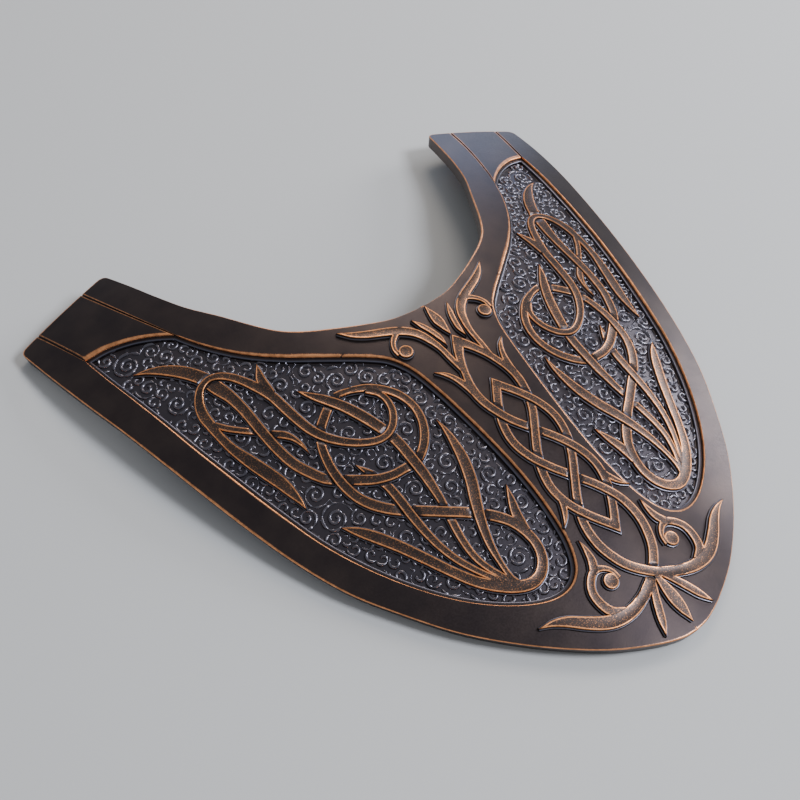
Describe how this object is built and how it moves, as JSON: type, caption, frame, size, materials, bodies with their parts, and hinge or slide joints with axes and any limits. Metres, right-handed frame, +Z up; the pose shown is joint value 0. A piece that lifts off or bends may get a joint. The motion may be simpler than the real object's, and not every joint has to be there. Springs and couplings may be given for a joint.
{
  "type": "gorget",
  "caption": "Steel gorget: a bowed crescent neck plate with recessed side panels and raised interlace, dark with rubbed edges.",
  "frame": {"origin": "centre of the bounding box, on the surface that the plate lies on", "axes": "+Z up, out of the decorated face; +Y towards the neck opening and the arms; +X across, towards the wearer's left arm"},
  "size_m": [0.2492, 0.2464, 0.032],
  "materials": {
    "patinated_steel": "brown-black patina, raised edges rubbed to copper"
  },
  "bodies": {
    "root": {"gorget_plate": "patinated_steel"}
  },
  "joints": []
}
